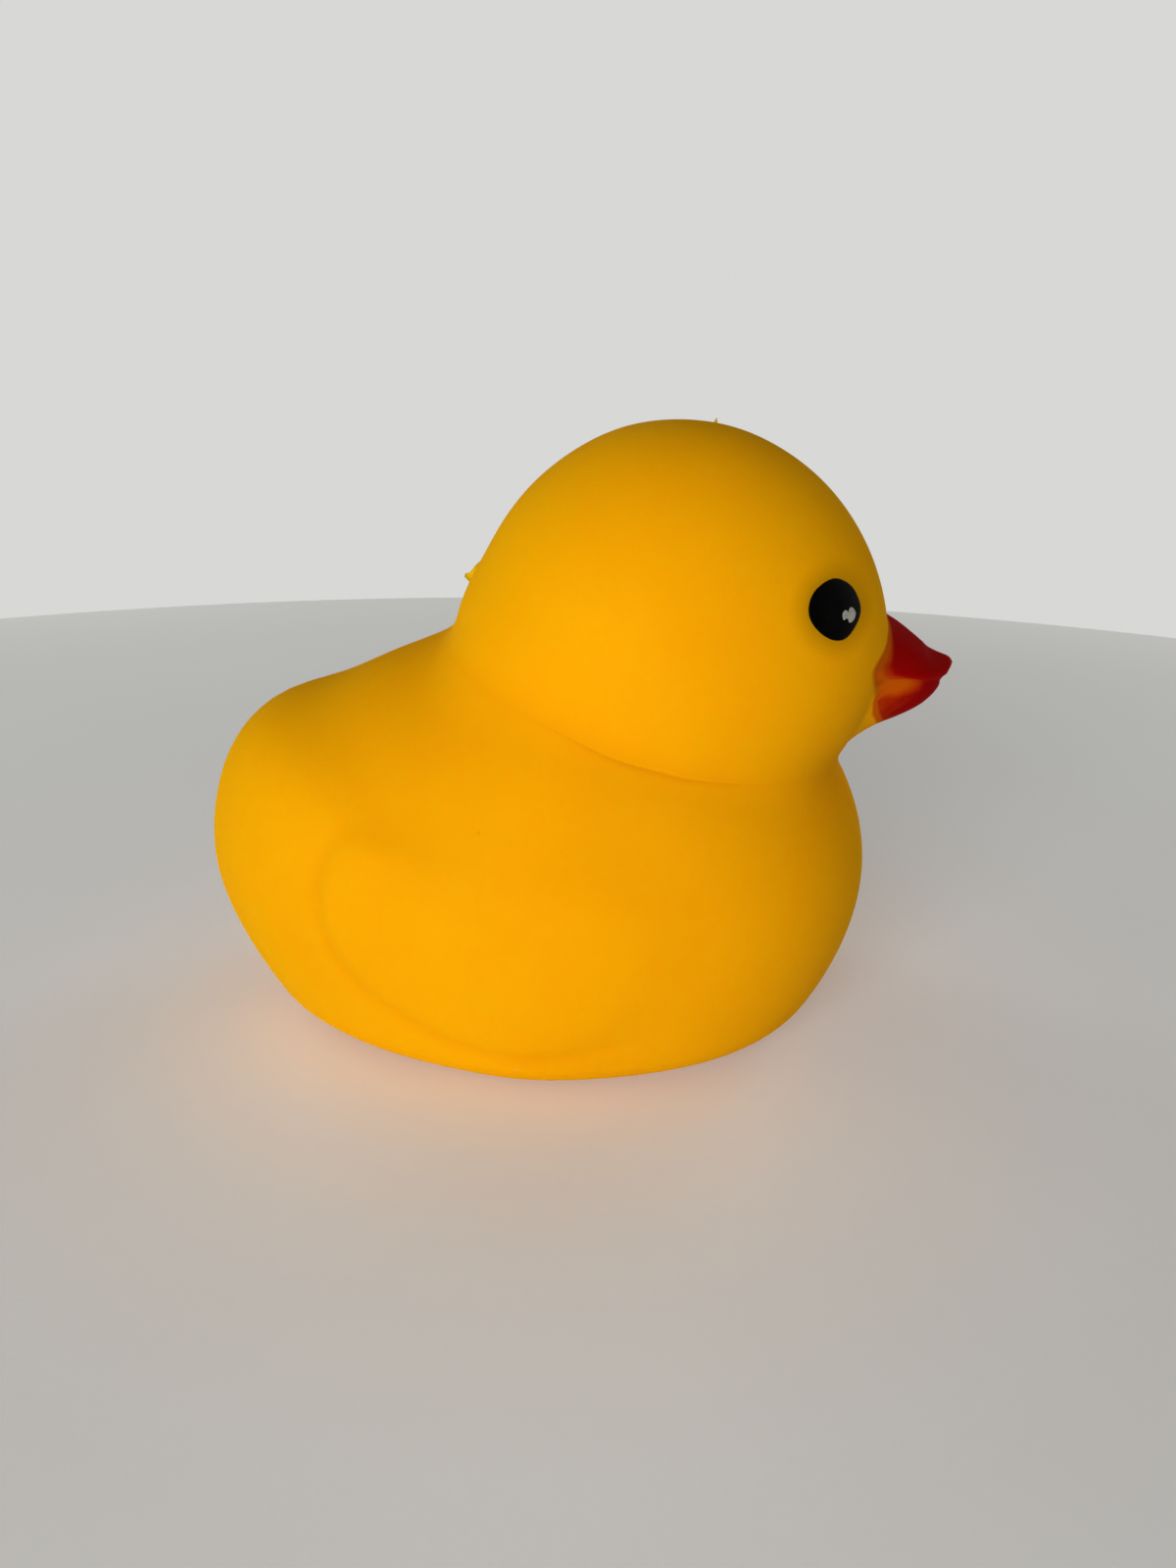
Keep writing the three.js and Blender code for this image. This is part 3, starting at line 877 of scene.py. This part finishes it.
def make_eye_ink():
    material, tree, shader, place = new_finish("eye_ink")
    colour = drift_colours(tree, place, INK_BLACK, INK_WORN, patches=300.0)
    colour = lint_over(tree, place, colour, specks=900.0, share=0.04, strength=0.1, pale=INK_DUST)
    put(tree, shader.inputs["Base Color"], colour)
    put(tree, shader.inputs["Roughness"], drift_roughness(tree, place, patches=400.0, low=0.38, high=0.5))
    put(tree, shader.inputs["Normal"], grain_normal(tree, place, grains=2600.0, depth=0.04, strength=0.2))
    shader.inputs["Specular IOR Level"].default_value = 0.01
    return material


def make_dab_paint():
    material, tree, shader, place = new_finish("dab_paint")
    colour = drift_colours(tree, place, DAB_PALE, DAB_DULL, patches=1500.0)
    put(tree, shader.inputs["Base Color"], colour)
    put(tree, shader.inputs["Roughness"], drift_roughness(tree, place, patches=900.0, low=0.4, high=0.55))
    put(tree, shader.inputs["Normal"], grain_normal(tree, place, grains=3500.0, depth=0.04, strength=0.25))
    return material


def seen_as_background(tree):
    """1 where the camera, a reflection or a clear thing shows the studio, 0 where it only gives light."""
    path = add_node(tree, "ShaderNodeLightPath").outputs
    seen = math_node(tree, "MAXIMUM", path["Is Camera Ray"], path["Is Glossy Ray"])
    return math_node(tree, "MAXIMUM", seen, path["Is Transmission Ray"])


def make_studio_paper():
    material, tree, shader, place = new_finish("studio_paper")
    colour = drift_colours(tree, place, PAPER_DULL, PAPER_PALE, patches=6.0)
    put(tree, shader.inputs["Base Color"], colour)
    glow = math_node(tree, "MULTIPLY", seen_as_background(tree), PAPER_GLOW)
    put(tree, shader.inputs["Emission Strength"], glow)
    shader.inputs["Emission Color"].default_value = PAPER_GLOW_COLOUR
    shader.inputs["Roughness"].default_value = 0.8
    shader.inputs["Specular IOR Level"].default_value = 0.1
    return material


# The duck

def carry(piece, material):
    """Gives a piece its finish and makes it a visible part of the solid duck."""
    piece.data.materials.append(material)
    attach(piece, "root")
    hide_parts("duck")
    return piece


def make_duck():
    foam_skin, eye_ink, dab_paint = make_foam_skin(), make_eye_ink(), make_dab_paint()
    carry(make_skin(), foam_skin)
    carry(make_burrs(), foam_skin)
    for side, side_name in ((1, "left"), (-1, "right")):
        eye_name, dab_name = "eye_" + side_name, "eye_dab_" + side_name
        eye = print_patch(eye_name, EYE_OUTLINE, EYE_CENTRE, side, eye_ground, EYE_THICKNESS)
        dab = print_patch(dab_name, DAB_OUTLINE, DAB_CENTRE, side, dab_ground, DAB_THICKNESS)
        carry(eye, eye_ink)
        carry(dab, dab_paint)


# Studio: a round paper floor in pale air, soft lamps and the camera. Lamps are placed in metres

FLOOR_RADIUS = 350
FLOOR_SIDES = 180

LAMP_SIZE = 0.5
LAMP_AIM = (0, 0, 0.035)
KEY_PLACE = (-0.23, -0.71, 0.1)
KEY_POWER = 5.5
KEY_WHITE = (1.0, 1.0, 1.0)
FILL_PLACE = (0.5, 0.58, 0.12)  # one on each side, behind the duck
FILL_POWER = 2.0
FILL_WARM = (1.0, 0.95, 0.9)
AIR_WARM = (1.0, 0.85, 0.7, 1)
AIR_PALE = (0.98, 0.98, 0.96, 1)
AIR_LIGHT = 0.15
AIR_SEEN = 0.7

CAMERA_PLACE = (9.37, -161.9, 79.5)
CAMERA_RIGHT = (0.99975, 0.01535, 0.0128)
CAMERA_UP = (-0.01678, 0.29693, 0.9547)
CAMERA_AHEAD = (-0.01085, 0.95478, -0.2971)
CAMERA_LENS = 28.69
CAMERA_SENSOR = 36
CAMERA_NEAR = 5


def make_floor():
    turns = np.linspace(0, 2 * np.pi, FLOOR_SIDES, endpoint=False)
    rim = np.stack([np.cos(turns), np.sin(turns), np.zeros(FLOOR_SIDES)], axis=-1) * FLOOR_RADIUS
    floor = new_piece("paper_floor", rim, [tuple(range(FLOOR_SIDES))])
    floor.data.materials.append(make_studio_paper())


def add_lamp(name, place, power, colour, glossy):
    light = bpy.data.lights.new(name, "AREA")
    light.shape = "DISK"
    light.size = LAMP_SIZE
    light.energy = power
    light.color = colour
    lamp = bpy.data.objects.new(name, light)
    lamp.location = place
    lamp.visible_camera = False
    lamp.visible_glossy = glossy
    lamp.rotation_euler = (Vector(LAMP_AIM) - Vector(place)).to_track_quat("-Z", "Y").to_euler()
    bpy.context.scene.collection.objects.link(lamp)


def light_studio():
    add_lamp("key", KEY_PLACE, KEY_POWER, KEY_WHITE, glossy=True)
    for name, side in (("fill_left", -1), ("fill_right", 1)):
        place = (side * FILL_PLACE[0], *FILL_PLACE[1:])
        add_lamp(name, place, FILL_POWER, FILL_WARM, glossy=False)
    world = bpy.data.worlds.new("studio_air")
    world.use_nodes = True
    tree = world.node_tree
    seen = seen_as_background(tree)
    background = tree.nodes["Background"]
    put(tree, background.inputs["Color"], mix_colours(tree, seen, AIR_WARM, AIR_PALE))
    put(tree, background.inputs["Strength"], remap(tree, seen, 0.0, 1.0, AIR_LIGHT, AIR_SEEN))
    bpy.context.scene.world = world


def place_camera():
    data = bpy.data.cameras.new("camera")
    data.lens = CAMERA_LENS
    data.sensor_width = CAMERA_SENSOR
    data.sensor_fit = "AUTO"
    data.clip_start = CAMERA_NEAR * MM
    camera = bpy.data.objects.new("camera", data)
    axes = Matrix((CAMERA_RIGHT, CAMERA_UP, [-part for part in CAMERA_AHEAD])).transposed().to_4x4()
    camera.matrix_world = Matrix.Translation(Vector(CAMERA_PLACE) * MM) @ axes
    bpy.context.scene.collection.objects.link(camera)
    bpy.context.scene.camera = camera


make_duck()
make_floor()
light_studio()
place_camera()
bpy.context.scene.view_settings.view_transform = "Standard"
